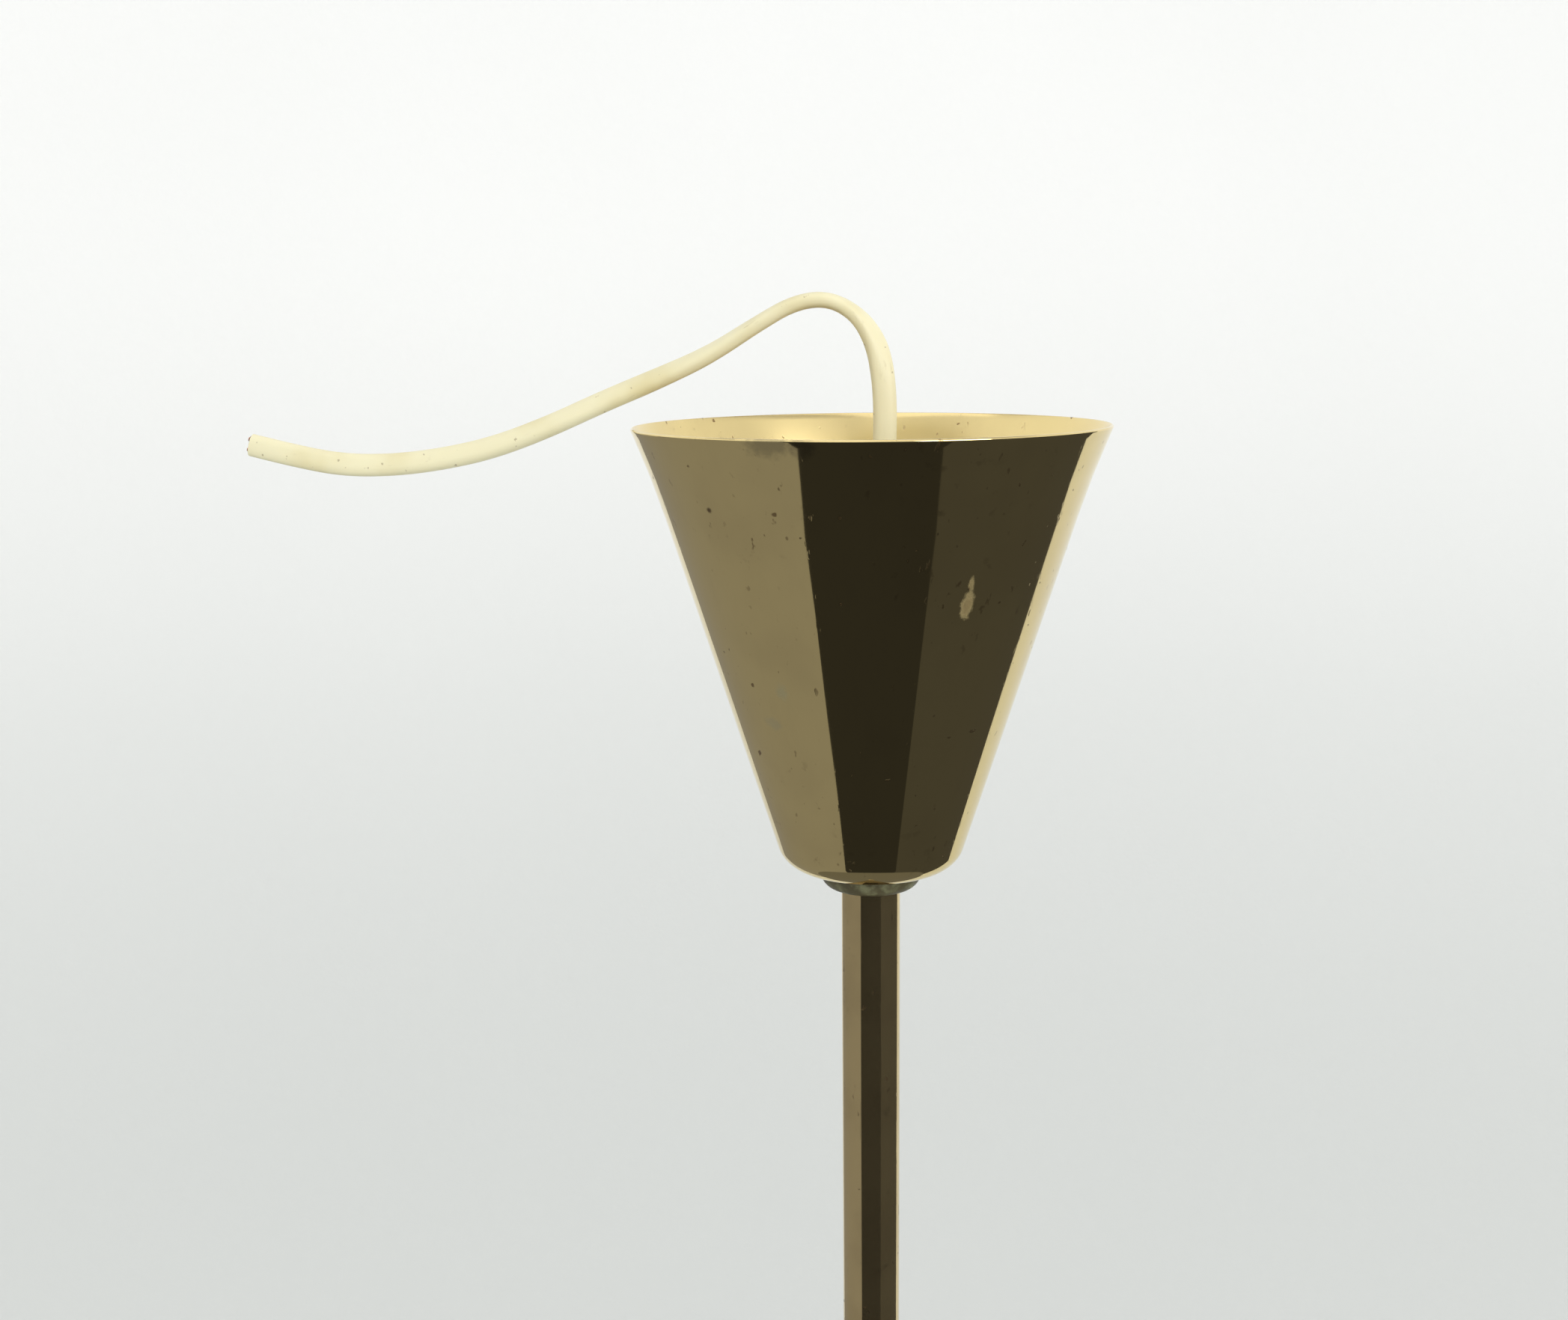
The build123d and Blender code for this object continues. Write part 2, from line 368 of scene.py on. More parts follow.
def buildFlag(facts, outline):
    flag = turnPiece(facts["name"], outline, flagSegments)
    if "from" in facts:
        low, high = facts["from"] - flagMargin, facts["to"] + flagMargin
        pick(flag, lambda spot: not low < math.degrees(math.atan2(spot.x, -spot.y)) < high)
        bpy.ops.mesh.delete(type="VERT")
        leaveEdit()
    flag.data.materials.append(flagFinish(facts))
    flag.visible_camera = False
    flag.visible_diffuse = False
    flag.visible_transmission = False
    flag.visible_shadow = False
    return flag


def buildStage(facts):
    foot, radius = facts["floorHeight"], facts["wallRadius"]
    corners = [(1.0, foot), (radius, foot), (radius, facts["wallTop"])]
    bowl = turnPiece("bowl", roundedLine(corners, [radius - facts["floorRadius"]], 6), 96)
    smooth(bowl, 60)
    bowl.data.materials.append(bowlFinish(facts))
    foot, top, radius = facts["flagFoot"], facts["flagTop"], facts["flagRadius"]
    stage = [bowl, buildFlag(floorFlag, [(1.0, foot), (radius, foot)])]
    for flag in flags:
        stage.append(buildFlag(flag, [(radius, foot), (radius, top)]))
    world = bpy.data.worlds.new("studio")
    world.use_nodes = True
    world.node_tree.nodes["Background"].inputs["Color"].default_value = facts["worldShade"]
    world.node_tree.nodes["Background"].inputs["Strength"].default_value = facts["worldStrength"]
    bpy.context.scene.world = world


softLights = [
    {"name": "topLight", "place": (-0.2, -0.2, 1.4), "aim": (0, 0, 0), "size": 1.6, "power": 6.0},
    {"name": "frontLight", "place": (0.65, -0.9, 0.35), "aim": (0, 0, 0.05), "size": 0.7, "power": 6.4},
]


def addSoftLight(facts):
    light = bpy.data.lights.new(facts["name"], "AREA")
    light.size = facts["size"]
    light.energy = facts["power"]
    holder = bpy.data.objects.new(facts["name"], light)
    bpy.context.scene.collection.objects.link(holder)
    aim = Vector(facts["aim"]) - Vector(facts["place"])
    turn = aim.to_track_quat("-Z", "Y").to_matrix().to_4x4()
    holder.matrix_world = Matrix.Translation(facts["place"]) @ turn


buildStage(surroundings)
for lightFacts in softLights:
    addSoftLight(lightFacts)
print("stage and lights ready")


# Supply cable: flat twin flex, cut bare, from the top of the cord grip

cableFacts = {
    "route": [
        (0, 0, -26),
        (0, 0, -18.5),
        (0, 2.5, -11),
        (1, 9, 1),
        (2, 12, 13),
        (3.5, 13, 27),
        (4, 13, 40),
        (3.5, 13, 49),
        (2, 13.5, 56),
        (-2, 13.5, 62),
        (-8.5, 14, 65.5),
        (-16, 14.5, 64.5),
        (-24, 15, 60),
        (-34.5, 16, 53.5),
        (-46, 17.5, 48.5),
        (-58.5, 19, 43.5),
        (-71, 20.5, 38),
        (-83.5, 22, 33.5),
        (-95, 24, 31),
        (-107, 26, 29.5),
        (-119, 28, 29.5),
        (-130.5, 30.5, 31.5),
        (-141, 32.5, 34),
    ],
    "width": 5.2,
    "thickness": 3.4,
    "length": 240.0,
    "sides": 28,
    # where the wide side points, by share of the length
    "wideSide": [
        (0.0, (1, 0, 0)),
        (0.32, (1, 0.1, 0)),
        (0.40, (0.25, 1, 0)),
        (0.46, (0, 1, 0.1)),
        (0.60, (0, 0.66, 0.75)),
        (0.85, (0, 0.48, 0.87)),
        (1.0, (0, 0.1, 1)),
    ],
    "cutRounding": 0.12,
    "sheath": paint(234, 227, 190),
    "sheathAged": paint(216, 203, 152),
    "dirt": paint(122, 98, 60),
}

coreFacts = {
    "spacing": 2.4,
    "coreRadius": 1.0,
    "strandRadius": 0.16,
    "strandRing": 0.325,
    "buried": 1.5,
    "coreProud": 0.4,
    "copperProud": 0.8,
    "blue": paint(52, 92, 150),
    "brown": paint(104, 66, 42),
    "copper": (0.86, 0.44, 0.27, 1.0),
}


def cableSpline(route):
    # the cable's centreline, a smooth spline that its route's points pull into shape
    curve = bpy.data.curves.new("cableLine", "CURVE")
    curve.dimensions = "3D"
    curve.resolution_u = 12
    spline = curve.splines.new("NURBS")
    spline.points.add(len(route) - 1)
    for point, place in zip(spline.points, route):
        point.co = (*(Vector(place) * mm), 1.0)
    spline.order_u = 3
    spline.use_endpoint_u = True
    line = bpy.data.objects.new("cableLine", curve)
    bpy.context.scene.collection.objects.link(line)
    bpy.context.view_layer.update()
    mesh = bpy.data.meshes.new_from_object(line)
    points = [vertex.co.copy() for vertex in mesh.vertices]
    bpy.data.meshes.remove(mesh)
    bpy.data.objects.remove(line)
    return points


def wideAt(share, stations):
    for (before, first), (after, second) in zip(stations, stations[1:]):
        if share <= after:
            return Vector(first).lerp(Vector(second), (share - before) / (after - before))
    return Vector(stations[-1][1])


def sheathFinish(facts):
    finish = Finish("cableSheath", roughness=0.42)
    place = finish.place()
    around, along = finish.axes(finish.node("TexCoord", output="UV"))[:2]
    grain = finish.node("CombineXYZ", None, {0: around * 9.0, 1: along * 160.0})
    streak = finish.noise(grain, 1.0, 5.0, 0.6)
    aged = finish.noise(place, 45.0, 3.0).between(0.42, 0.68)
    colour = finish.mix(aged * 0.75, facts["sheath"], facts["sheathAged"])
    smear = streak.between(0.60, 0.78) * finish.noise(place, 90.0, 2.0).between(0.45, 0.62)
    colour = finish.mix(smear * 0.34, colour, facts["dirt"])
    specks = finish.noise(place, 700.0, 2.0).between(0.70, 0.76)
    colour = finish.mix(specks * 0.5, colour, facts["dirt"])
    finish.set("Base Color", colour)
    finish.set("Roughness", 0.36 + smear * 0.3 + streak * 0.12)
    finish.set("Subsurface Weight", 0.08)
    finish.set("Subsurface Radius", (0.0012, 0.0009, 0.0005))
    finish.set("Subsurface Scale", 1.0)
    finish.bump(streak * 0.6 + finish.noise(place, 1500.0, 2.0) * 0.25, 0.00006)
    return finish.material


def buildCable(facts):
    points = cableSpline(facts["route"])
    reach = [0.0]
    for before, after in zip(points, points[1:]):
        reach.append(reach[-1] + (after - before).length)
    length, sides = reach[-1], facts["sides"]
    rings = []
    for index, point in enumerate(points):
        tangent = (points[min(index + 1, len(points) - 1)] - points[max(index - 1, 0)]).normalized()
        wide = wideAt(reach[index] / length, facts["wideSide"])
        wide = (wide - tangent * wide.dot(tangent)).normalized()
        rings.append((point, tangent, wide, tangent.cross(wide), 1.0))
    rounding = facts["cutRounding"] * mm
    point, tangent, wide, thin, full = rings[-1]
    rings[-1] = (point - tangent * rounding, tangent, wide, thin, full)
    rings.append((point, tangent, wide, thin, 1 - facts["cutRounding"] / facts["thickness"] * 2))
    vertices, faces = [], []
    for point, tangent, wide, thin, share in rings:
        for side in range(sides):
            angle = math.tau * side / sides
            # a flat oval, a little fuller than an ellipse
            across = math.copysign(abs(math.cos(angle)) ** 0.8, math.cos(angle))
            over = math.copysign(abs(math.sin(angle)) ** 0.8, math.sin(angle))
            offset = wide * across * facts["width"] / 2 + thin * over * facts["thickness"] / 2
            vertices.append(point + offset * mm * share)
    for ring in range(len(rings) - 1):
        for side in range(sides):
            low, high = ring * sides, (ring + 1) * sides
            after = (side + 1) % sides
            faces.append((low + side, low + after, high + after, high + side))
    faces.append(list(reversed(range(sides))))
    faces.append(list(range((len(rings) - 1) * sides, len(rings) * sides)))
    mesh = bpy.data.meshes.new("supplyCable")
    mesh.from_pydata(vertices, [], faces)
    layer = mesh.uv_layers.new(name="sheath")
    reach.append(length)
    for face in mesh.polygons:
        for loop, corner in zip(face.loop_indices, face.vertices):
            side = corner % sides
            if len(face.vertices) == 4 and side == 0 and face.vertices[1] % sides == 0:
                side = sides
            layer.data[loop].uv = (side / sides, reach[corner // sides])
    cable = bpy.data.objects.new("supplyCable", mesh)
    bpy.context.scene.collection.objects.link(cable)
    smooth(cable, 40)
    settle(cable, "stem", "cable_sheath", sheathFinish(facts), "supply_cable")
    return cable, points


def endPlace(facts):
    # where the cable is cut: origin at its centre, Z out of the cable, X along its wide side
    end, before = Vector(facts["route"][-1]), Vector(facts["route"][-2])
    out = (end - before).normalized()
    across = (Vector((0, 0, 1)) - out * out.z).normalized()
    turn = Matrix((across, out.cross(across), out)).transposed().to_4x4()
    return Matrix.Translation(end * mm) @ turn


def insulationFinish(name, colour):
    finish = Finish(name, roughness=0.4)
    place = finish.place()
    fade = finish.noise(place, 900.0, 3.0)
    finish.set("Base Color", finish.mix(fade.between(0.4, 0.8) * 0.35, colour, paint(196, 188, 168)))
    finish.set("Roughness", 0.32 + fade * 0.2)
    finish.bump(fade, 0.00003)
    return finish.material


def copperFinish(colour):
    finish = Finish("copperWire", metallic=1.0)
    tarnish = finish.noise(finish.place(), 2200.0, 3.0)
    finish.set("Base Color", finish.mix(tarnish.between(0.4, 0.75), colour, paint(120, 66, 38)))
    finish.set("Roughness", 0.22 + tarnish * 0.3)
    return finish.material


def buildCore(name, radius, proud, side, place, strands):
    # a core's insulation is one rounded rod, its copper seven thin ones
    spots = [(0.0, 0.0)]
    ring = coreFacts["strandRing"]
    if strands:
        angles = [math.tau * step / 6 for step in range(6)]
        spots += [(ring * math.cos(angle), ring * math.sin(angle)) for angle in angles]
    tip, foot = radius * 0.2, -coreFacts["buried"]
    corners = [(tip, foot), (radius, foot), (radius, proud), (tip, proud)]
    outline = roundedLine(corners, [tip, radius * 0.3], 30)
    rods = []
    for x, y in spots:
        rod = turnPiece(name, outline, 16 if strands else 40, capped=True)
        rod.location = ((side * coreFacts["spacing"] / 2 + x) * mm, y * mm, 0)
        bpy.ops.object.transform_apply(location=True)
        rods.append(rod)
    begin()
    for rod in rods:
        rod.select_set(True)
    bpy.context.view_layer.objects.active = rods[0]
    if len(rods) > 1:
        bpy.ops.object.join()
    core = rods[0]
    core.name = name
    core.matrix_world = place
    bpy.ops.object.transform_apply(location=True, rotation=True)
    smooth(core, 50)
    return core


cable, cableLine = buildCable(cableFacts)
cutPlace = endPlace(cableFacts)
cores = []
copper = copperFinish(coreFacts["copper"])
for colourName, side in (("blue", -1), ("brown", 1)):
    core = buildCore(
        colourName + "Core", coreFacts["coreRadius"], coreFacts["coreProud"], side, cutPlace, False
    )
    insulation = insulationFinish(colourName + "Insulation", coreFacts[colourName])
    settle(core, "stem", colourName + "_insulation", insulation, "core_" + colourName)
    strands = buildCore(
        colourName + "CoreCopper", coreFacts["strandRadius"], coreFacts["copperProud"], side, cutPlace, True
    )
    settle(strands, "stem", "copper_wire", copper, "conductor_" + colourName + "_core")
    cores += [core, strands]

cableFacts["length"] * mm
cableFacts["width"] * mm
print("cable laid")


# Brass, spun or drawn, polished and lacquered, then aged

markEdge = (1.15, 0.35)


def brassFinish(name, facts):
    finish = Finish(name, metallic=facts["metallic"])
    place = finish.place()
    cloud = finish.noise(place, facts["cloudScale"], 3.0, 0.55)
    fine = finish.noise(place, 240.0, 4.0, 0.6)
    colour = finish.mix(cloud.between(0.42, 0.66) * 0.7, facts["tint"], facts["patina"])
    ragged = finish.noise(place, 520.0, 3.0, 0.6)
    patches = fine.between(0.60, 0.70) * cloud.between(0.5, 0.6)
    colour = finish.mix(patches * 0.25, colour, facts["tarnish"])
    dots = finish.noise(place, facts["speckScale"], 1.0).between(0.75, 0.80)
    dashes = finish.noise(finish.stretched(place, facts["dashStretch"]), 1.0, 2.0, 0.6).between(0.67, 0.73)
    specks = dots.math("MAXIMUM", dots, dashes * cloud.between(0.42, 0.58) * 0.8)
    colour = finish.mix(specks * 0.8, colour, facts["tarnish"])
    drawn = finish.noise(finish.stretched(place, facts["drawStretch"]), 1.0, 3.0, 0.7)
    colour = finish.mix(drawn.between(0.45, 0.8) * 0.3, colour, facts["patina"])
    haze = patches * 0.06 + specks * 0.3 + cloud.between(0.4, 0.8) * 0.02
    bare = 0.0
    wear = specks * -0.5
    for mark in facts["marks"]:
        shown = finish.spot(place, mark["place"], mark["size"], ragged, markEdge) * mark["strength"]
        colour = finish.mix(shown, colour, mark["colour"])
        haze = haze + shown * mark["haze"]
        bare = bare + shown * mark["dull"]
    if facts["innerRoughness"]:
        facing = finish.node("NewGeometry", output="Normal")
        values = {0: facing, 1: finish.stretched(place, (1, 1, 0))}
        toAxis = finish.node("VectorMath", {"operation": "DOT_PRODUCT"}, values, "Value")
        haze = haze + toAxis.between(0.001, -0.001) * facts["innerRoughness"]
    # long shallow waves of the sheet, with hair scratches on top
    grain = finish.stretched(place, facts["scratchStretch"])
    scratches = finish.noise(grain, 1.0, 2.0).between(0.66, 0.72)
    waves = finish.noise(finish.stretched(place, facts["waveStretch"]), 1.0, 1.0)
    finish.set("Base Color", colour)
    if facts["marks"]:
        finish.set("Metallic", facts["metallic"] - bare)
    finish.set("Roughness", haze + facts["roughness"])
    finish.bump(waves * facts["waveHeight"] + scratches * 0.02 + wear * 0.3 + fine * 0.012, 0.0001)
    return finish.material


# Ceiling cup: one spun sheet, a cone that flares a little towards its rim

cupFacts = {
    "rim": 39.0,
    "height": 96.7,
    "sheet": 0.8,
    "holeRadius": 7.6,
    "footCorner": 18.8,
    "footBend": 6.1,
    "flareCorner": 46.6,
    "flareDrop": 9.9,
    "flareBend": 200.0,
    "rimRadius": 50.6,
    "innerRoughness": 0.17,
    "segments": 192,
    "tint": (0.86, 0.69, 0.33, 1.0),
    "patina": (0.78, 0.62, 0.30, 1.0),
    "tarnish": (0.22, 0.13, 0.06, 1.0),
    "metallic": 1.0,
    "cloudScale": 34.0,
    "speckScale": 430.0,
    "roughness": 0.042,
    "scratchStretch": (900.0, 900.0, 60.0),
    "dashStretch": (520.0, 520.0, 260.0),
    "drawStretch": (260.0, 260.0, 14.0),
    "waveStretch": (26.0, 26.0, 9.0),
    "waveHeight": 1.6,
    "marks": [
        {"place": (17.2, -35.6, 5.6), "size": (1.6, 1.6, 3.8), "strength": 0.85,
         "colour": (0.17, 0.12, 0.05, 1.0), "haze": 0.3, "dull": 0.8},  # flaked patch in the lacquer
        {"place": (17.7, -36.6, 9.8), "size": (0.7, 0.7, 3.6), "strength": 0.6,
         "colour": (0.17, 0.12, 0.05, 1.0), "haze": 0.3, "dull": 0.7},  # and its thin upper tail
        {"place": (-19.2, -27.1, -12.9), "size": (1.6, 1.6, 2.6), "strength": 0.6,
         "colour": (0.6, 0.55, 0.32, 1.0), "haze": 0.2, "dull": 0.1},  # hooked stain, its upper half
        {"place": (-21.2, -22.6, -20.4), "size": (2.4, 2.4, 1.8), "strength": 0.65,
         "colour": (0.6, 0.52, 0.3, 1.0), "haze": 0.2, "dull": 0.1},  # and its lower half
        {"place": (-21.1, -45.4, 37.8), "size": (5.6, 5.6, 2.6), "strength": 0.65,
         "colour": (0.40, 0.33, 0.18, 1.0), "haze": 0.03, "dull": 0.0},  # tarnish under the rim
        {"place": (-15.1, -47.5, 37.4), "size": (3.2, 3.2, 2.4), "strength": 0.6,
         "colour": (0.40, 0.32, 0.18, 1.0), "haze": 0.03, "dull": 0.0},
        {"place": (-33.0, -30.7, 24.4), "size": (0.9, 0.9, 0.7), "strength": 0.9,
         "colour": (0.16, 0.1, 0.05, 1.0), "haze": 0.3, "dull": 0.0},
    ],
}


def buildCup(facts):
    half = facts["sheet"] / 2
    foot = facts["rim"] - facts["height"]
    corners = [
        (facts["holeRadius"], foot + half),
        (facts["footCorner"], foot + half),
        (facts["flareCorner"] - half, facts["rim"] - facts["flareDrop"]),
        (facts["rimRadius"] - half, facts["rim"] - half),
    ]
    middle = roundedLine(corners, [facts["footBend"], facts["flareBend"]], 3)
    outer, inner = [], []
    for index, point in enumerate(middle):
        ahead = middle[min(index + 1, len(middle) - 1)] - middle[max(index - 1, 0)]
        side = Vector((ahead.y, -ahead.x)).normalized() * half
        outer.append(point + side)
        inner.append(point - side)
    edge = outer[-1] - middle[-1]
    rim = [middle[-1] + Matrix.Rotation(math.pi * step / 6, 2) @ edge for step in range(1, 6)]
    outline = outer + rim + inner[::-1] + [outer[0]]
    cup = turnPiece("cupShell", outline, facts["segments"])
    smooth(cup, 40)
    settle(cup, "canopy", "cup_brass", brassFinish("cupBrass", facts), "canopy_cup")


buildCup(cupFacts)


# Stem tube, with both threaded ends bored out

stemFacts = {
    "radius": 6.5,
    "bore": 4.5,
    "threadBore": 5.0,
    "threadDepth": 12.2,
    "top": -48.8,
    "length": 200.0,
    "edge": 0.3,
    "segments": 128,
    "tint": (0.82, 0.64, 0.33, 1.0),
    "patina": (0.70, 0.54, 0.28, 1.0),
    "tarnish": (0.2, 0.12, 0.06, 1.0),
    "metallic": 0.985,
    "cloudScale": 48.0,
    "speckScale": 520.0,
    "roughness": 0.07,
    "innerRoughness": 0.0,
    "scratchStretch": (1400.0, 1400.0, 40.0),
    "dashStretch": (700.0, 700.0, 300.0),
    "drawStretch": (500.0, 500.0, 12.0),
    "waveStretch": (40.0, 40.0, 14.0),
    "waveHeight": 0.25,
    "marks": [],
}


def buildStem(facts):
    foot = facts["top"] - facts["length"]
    outline = roundedLoop(
        [
            (facts["radius"], foot),
            (facts["radius"], facts["top"]),
            (facts["threadBore"], facts["top"]),
            (facts["threadBore"], facts["top"] - facts["threadDepth"]),
            (facts["bore"], facts["top"] - facts["threadDepth"]),
            (facts["bore"], foot + facts["threadDepth"]),
            (facts["threadBore"], foot + facts["threadDepth"]),
            (facts["threadBore"], foot),
        ],
        [facts["edge"], facts["edge"], 0.1, 0.1, 0.1, 0.1, 0.1, 0.1],
        30,
    )
    stem = turnPiece("stemTube", outline, facts["segments"])
    smooth(stem, 40)
    settle(stem, "stem", "stem_brass", brassFinish("stemBrass", facts), "stem_tube")


buildStem(stemFacts)


# Rubber grommet: lip, groove round the edge of the cup's hole, domed flange below

grommetFacts = {
    "bore": 6.55,
    "neck": 7.5,
    "grooveFoot": -57.8,
    "grooveTop": -56.8,
    "lipRadius": 9.6,
    "lipTop": -54.8,
    "flangeRadius": 11.35,
    "flangeEdge": 0.8,
    "footRadius": 8.8,
    "foot": -62.4,
    "segments": 96,
    "rubber": paint(82, 76, 50),
    # painted shadow: the colour the rubber is given where it sits in the shade under the cup
    "rubberPaintedShadow": paint(52, 49, 39),
    "rubberPale": paint(134, 135, 98),
}


def grommetFinish(facts):
    finish = Finish("grommetRubber", roughness=0.4)
    place = finish.place()
    height = finish.axes(place)[2]
    cloud = finish.noise(place, 260.0, 4.0, 0.6)
    colour = finish.mix(cloud.between(0.45, 0.7) * 0.7, facts["rubber"], facts["rubberPale"])
    # painted shadow under the cup's foot: the flange's top and all above it are darkened
    upper = height.between((facts["grooveFoot"] - 1.8) * mm, (facts["grooveFoot"] - 0.4) * mm)
    colour = finish.mix(upper * 0.8, colour, facts["rubberPaintedShadow"])
    finish.set("Base Color", colour)
    finish.set("Roughness", 0.3 + cloud * 0.3)
    finish.bump(cloud * 0.7 + finish.noise(place, 1400.0, 2.0) * 0.3, 0.00012)
    return finish.material


def buildGrommet(facts):
    edge = facts["grooveFoot"] - facts["flangeEdge"]
    wide = facts["flangeRadius"] - facts["footRadius"]
    tall = edge - facts["foot"]
    dome = [
        (facts["footRadius"] + wide * math.cos(turn), edge - tall * math.sin(turn))
        for turn in [math.pi / 2 * step / 9 for step in range(1, 9)]
    ]
    upper = roundedLine(
        [
            (facts["bore"], facts["foot"]),
            (facts["bore"], facts["lipTop"]),
            (facts["lipRadius"], facts["lipTop"]),
            (facts["lipRadius"], facts["grooveTop"]),
            (facts["neck"], facts["grooveTop"]),
            (facts["neck"], facts["grooveFoot"]),
            (facts["flangeRadius"], facts["grooveFoot"]),
            (facts["flangeRadius"], edge),
        ],
        [0.2, 0.9, 0.2, 0.15, 0.15, 0.35],
        20,
    )
    sole = [(facts["footRadius"], facts["foot"]), (facts["bore"], facts["foot"])]
    grommet = turnPiece("grommetRubber", [*upper, *dome, *sole], facts["segments"])
    smooth(grommet, 45)
    settle(grommet, "grommet", "grommet_rubber", grommetFinish(facts), "canopy_grommet")


buildGrommet(grommetFacts)


# Plated steel

def steelFinish(name, facts):
    finish = Finish(name, metallic=1.0)
    place = finish.place()
    cloud = finish.noise(place, facts["cloudScale"], 4.0, 0.6)
    fine = finish.noise(place, 900.0, 3.0)
    colour = finish.mix(cloud.between(0.35, 0.7), facts["bright"], facts["dull"])
    rust = cloud.between(0.62, 0.74) * fine.between(0.5, 0.66)
    colour = finish.mix(rust * 0.6, colour, (0.2, 0.1, 0.05, 1.0))
    finish.set("Base Color", colour)
    finish.set("Roughness", facts["roughness"] + fine * 0.16 + rust * 0.3)
    finish.bump(fine * 0.5 + cloud * 0.5, 0.00005)
    return finish.material


zincFacts = {
    "bright": (0.62, 0.61, 0.56, 1.0),
    "dull": (0.40, 0.39, 0.36, 1.0),
    "cloudScale": 180.0,
    "roughness": 0.26,
}
screwFacts = {
    "bright": (0.70, 0.69, 0.66, 1.0),
    "dull": (0.50, 0.49, 0.45, 1.0),
    "cloudScale": 420.0,
    "roughness": 0.2,
}
zinc = steelFinish("zincSteel", zincFacts)
screwSteel = steelFinish("screwSteel", screwFacts)


# Hook yoke: a strip bent to a closed loop, with a hole in its foot

yokeFacts = {
    "innerRadius": 13.0,
    "strip": 2.0,
    "width": 12.0,
    "foot": -48.0,
    "cornerMiddle": 3.0,
    "hole": 5.1,
    "edge": 0.45,
}


def buildYoke(facts):
    middle = facts["innerRadius"] + facts["strip"] / 2
    level = facts["foot"] + facts["strip"] / 2
    arch = [
        (middle * math.sin(turn), middle * math.cos(turn))
        for turn in [math.pi / 2 * step / 16 for step in range(-16, 17)]
    ]
    lower = roundedLine(
        [(middle, 0), (middle, level), (-middle, level), (-middle, 0)], [facts["cornerMiddle"]] * 2, 15
    )
    loop = [(x, -facts["width"] / 2, z) for x, z in [*arch, *lower[1:]]]
    yoke = chainPiece("hookYoke", loop)
    bpy.ops.object.mode_set(mode="EDIT")
    bpy.ops.mesh.select_all(action="SELECT")
    bpy.ops.mesh.remove_doubles(threshold=0.01 * mm)
    bpy.ops.mesh.extrude_edges_move(TRANSFORM_OT_translate={"value": (0, facts["width"] * mm, 0)})
    bpy.ops.mesh.select_all(action="SELECT")
    bpy.ops.mesh.normals_make_consistent(inside=False)
    leaveEdit()
    applyModifier(yoke, "SOLIDIFY", thickness=facts["strip"] * mm, offset=0.0, use_even_offset=True)
    softenEdges(yoke, facts["edge"], 3, 60)
    carve(yoke, rodPiece("hole", facts["hole"], facts["foot"] - 1, facts["foot"] + facts["strip"] + 1))
    smooth(yoke, 40)
    settle(yoke, "stem", "zinc_steel", zinc, "hook_yoke")


buildYoke(yokeFacts)


# Washers

washerFacts = {
    "hole": 5.3,
    "radius": 9.0,
    "plainFoot": -46.0,
    "plainThickness": 1.0,
    "plainEdge": 0.2,
    "toothedFoot": -48.8,
    "toothedThickness": 0.8,
    "rootRadius": 7.0,
    "teeth": 12,
    "toothShare": 0.7,
    "toothNudge": 0.02,  # radians, so that each tooth's first edge counts
}


def buildWashers(facts):
    foot, top = facts["plainFoot"], facts["plainFoot"] + facts["plainThickness"]
    radius, hole = facts["radius"], facts["hole"]
    corners = [(radius, foot), (radius, top), (hole, top), (hole, foot)]
    plain = turnPiece("plainWasher", roundedLoop(corners, [facts["plainEdge"]] * 4, 30), 96)
    smooth(plain, 40)
    settle(plain, "stem", "zinc_steel", zinc, "plain_washer")

    foot, top = facts["toothedFoot"], facts["toothedFoot"] + facts["toothedThickness"]
    root = facts["rootRadius"]
    corners = [(root, foot), (root, top), (hole, top), (hole, foot)]
    toothed = turnPiece("toothedWasher", [*corners, corners[0]], facts["teeth"] * 6)
    step = math.tau / facts["teeth"]

    def onTooth(place):
        # outer wall, four of every six segments
        turn = (math.atan2(place.y, place.x) + facts["toothNudge"]) % step / step
        return place.xy.length > (root - 0.1) * mm and turn < facts["toothShare"]

    pick(toothed, onTooth)
    bpy.ops.mesh.extrude_region_move()
    grow = radius / root
    bpy.ops.transform.resize(value=(grow, grow, 1), center_override=(0, 0, (foot + top) / 2 * mm))
    leaveEdit()
    softenEdges(toothed, 0.12, 2, 40)
    smooth(toothed, 40)
    settle(toothed, "stem", "zinc_steel", zinc, "toothed_washer")


buildWashers(washerFacts)


# Hexagon nuts and threaded nipples of brass

nutFacts = {
    "flats": 14.0,
    "height": 3.0,
    "cornerCut": 0.6,
    "cornerSlope": 1.6,  # inward run of the corner's cut, per unit of its height
    "bore": 5.0,
    "edge": 0.12,
    "yokeNutFoot": -45.0,
    "lowerNutFoot": -251.8,
    "bright": (0.78, 0.62, 0.32, 1.0),
    "dull": (0.52, 0.38, 0.18, 1.0),
    "cloudScale": 220.0,
    "roughness": 0.2,
}
nutBrass = steelFinish("nutBrass", nutFacts)


def buildNut(name, facts, foot, node):
    corner = facts["flats"] / 2 / math.cos(math.pi / 6)
    top = foot + facts["height"]
    nut = rodPiece(name, corner, foot, top, 6, math.pi / 6)
    cut = facts["cornerCut"]
    slope = [(corner - facts["cornerSlope"] * (cut + 1), -1), (corner + 0.01, cut)]
    outline = [(radius, foot + rise) for radius, rise in slope]
    outline += [(radius, top - rise) for radius, rise in reversed(slope)]
    carve(nut, turnPiece("cutter", outline, 96, capped=True), "INTERSECT")
    carve(nut, rodPiece("cutter", facts["bore"], foot - 1, top + 1, 72))
    softenEdges(nut, facts["edge"], 2, 25)
    smooth(nut, 30)
    settle(nut, "stem", "nut_brass", nutBrass, node)


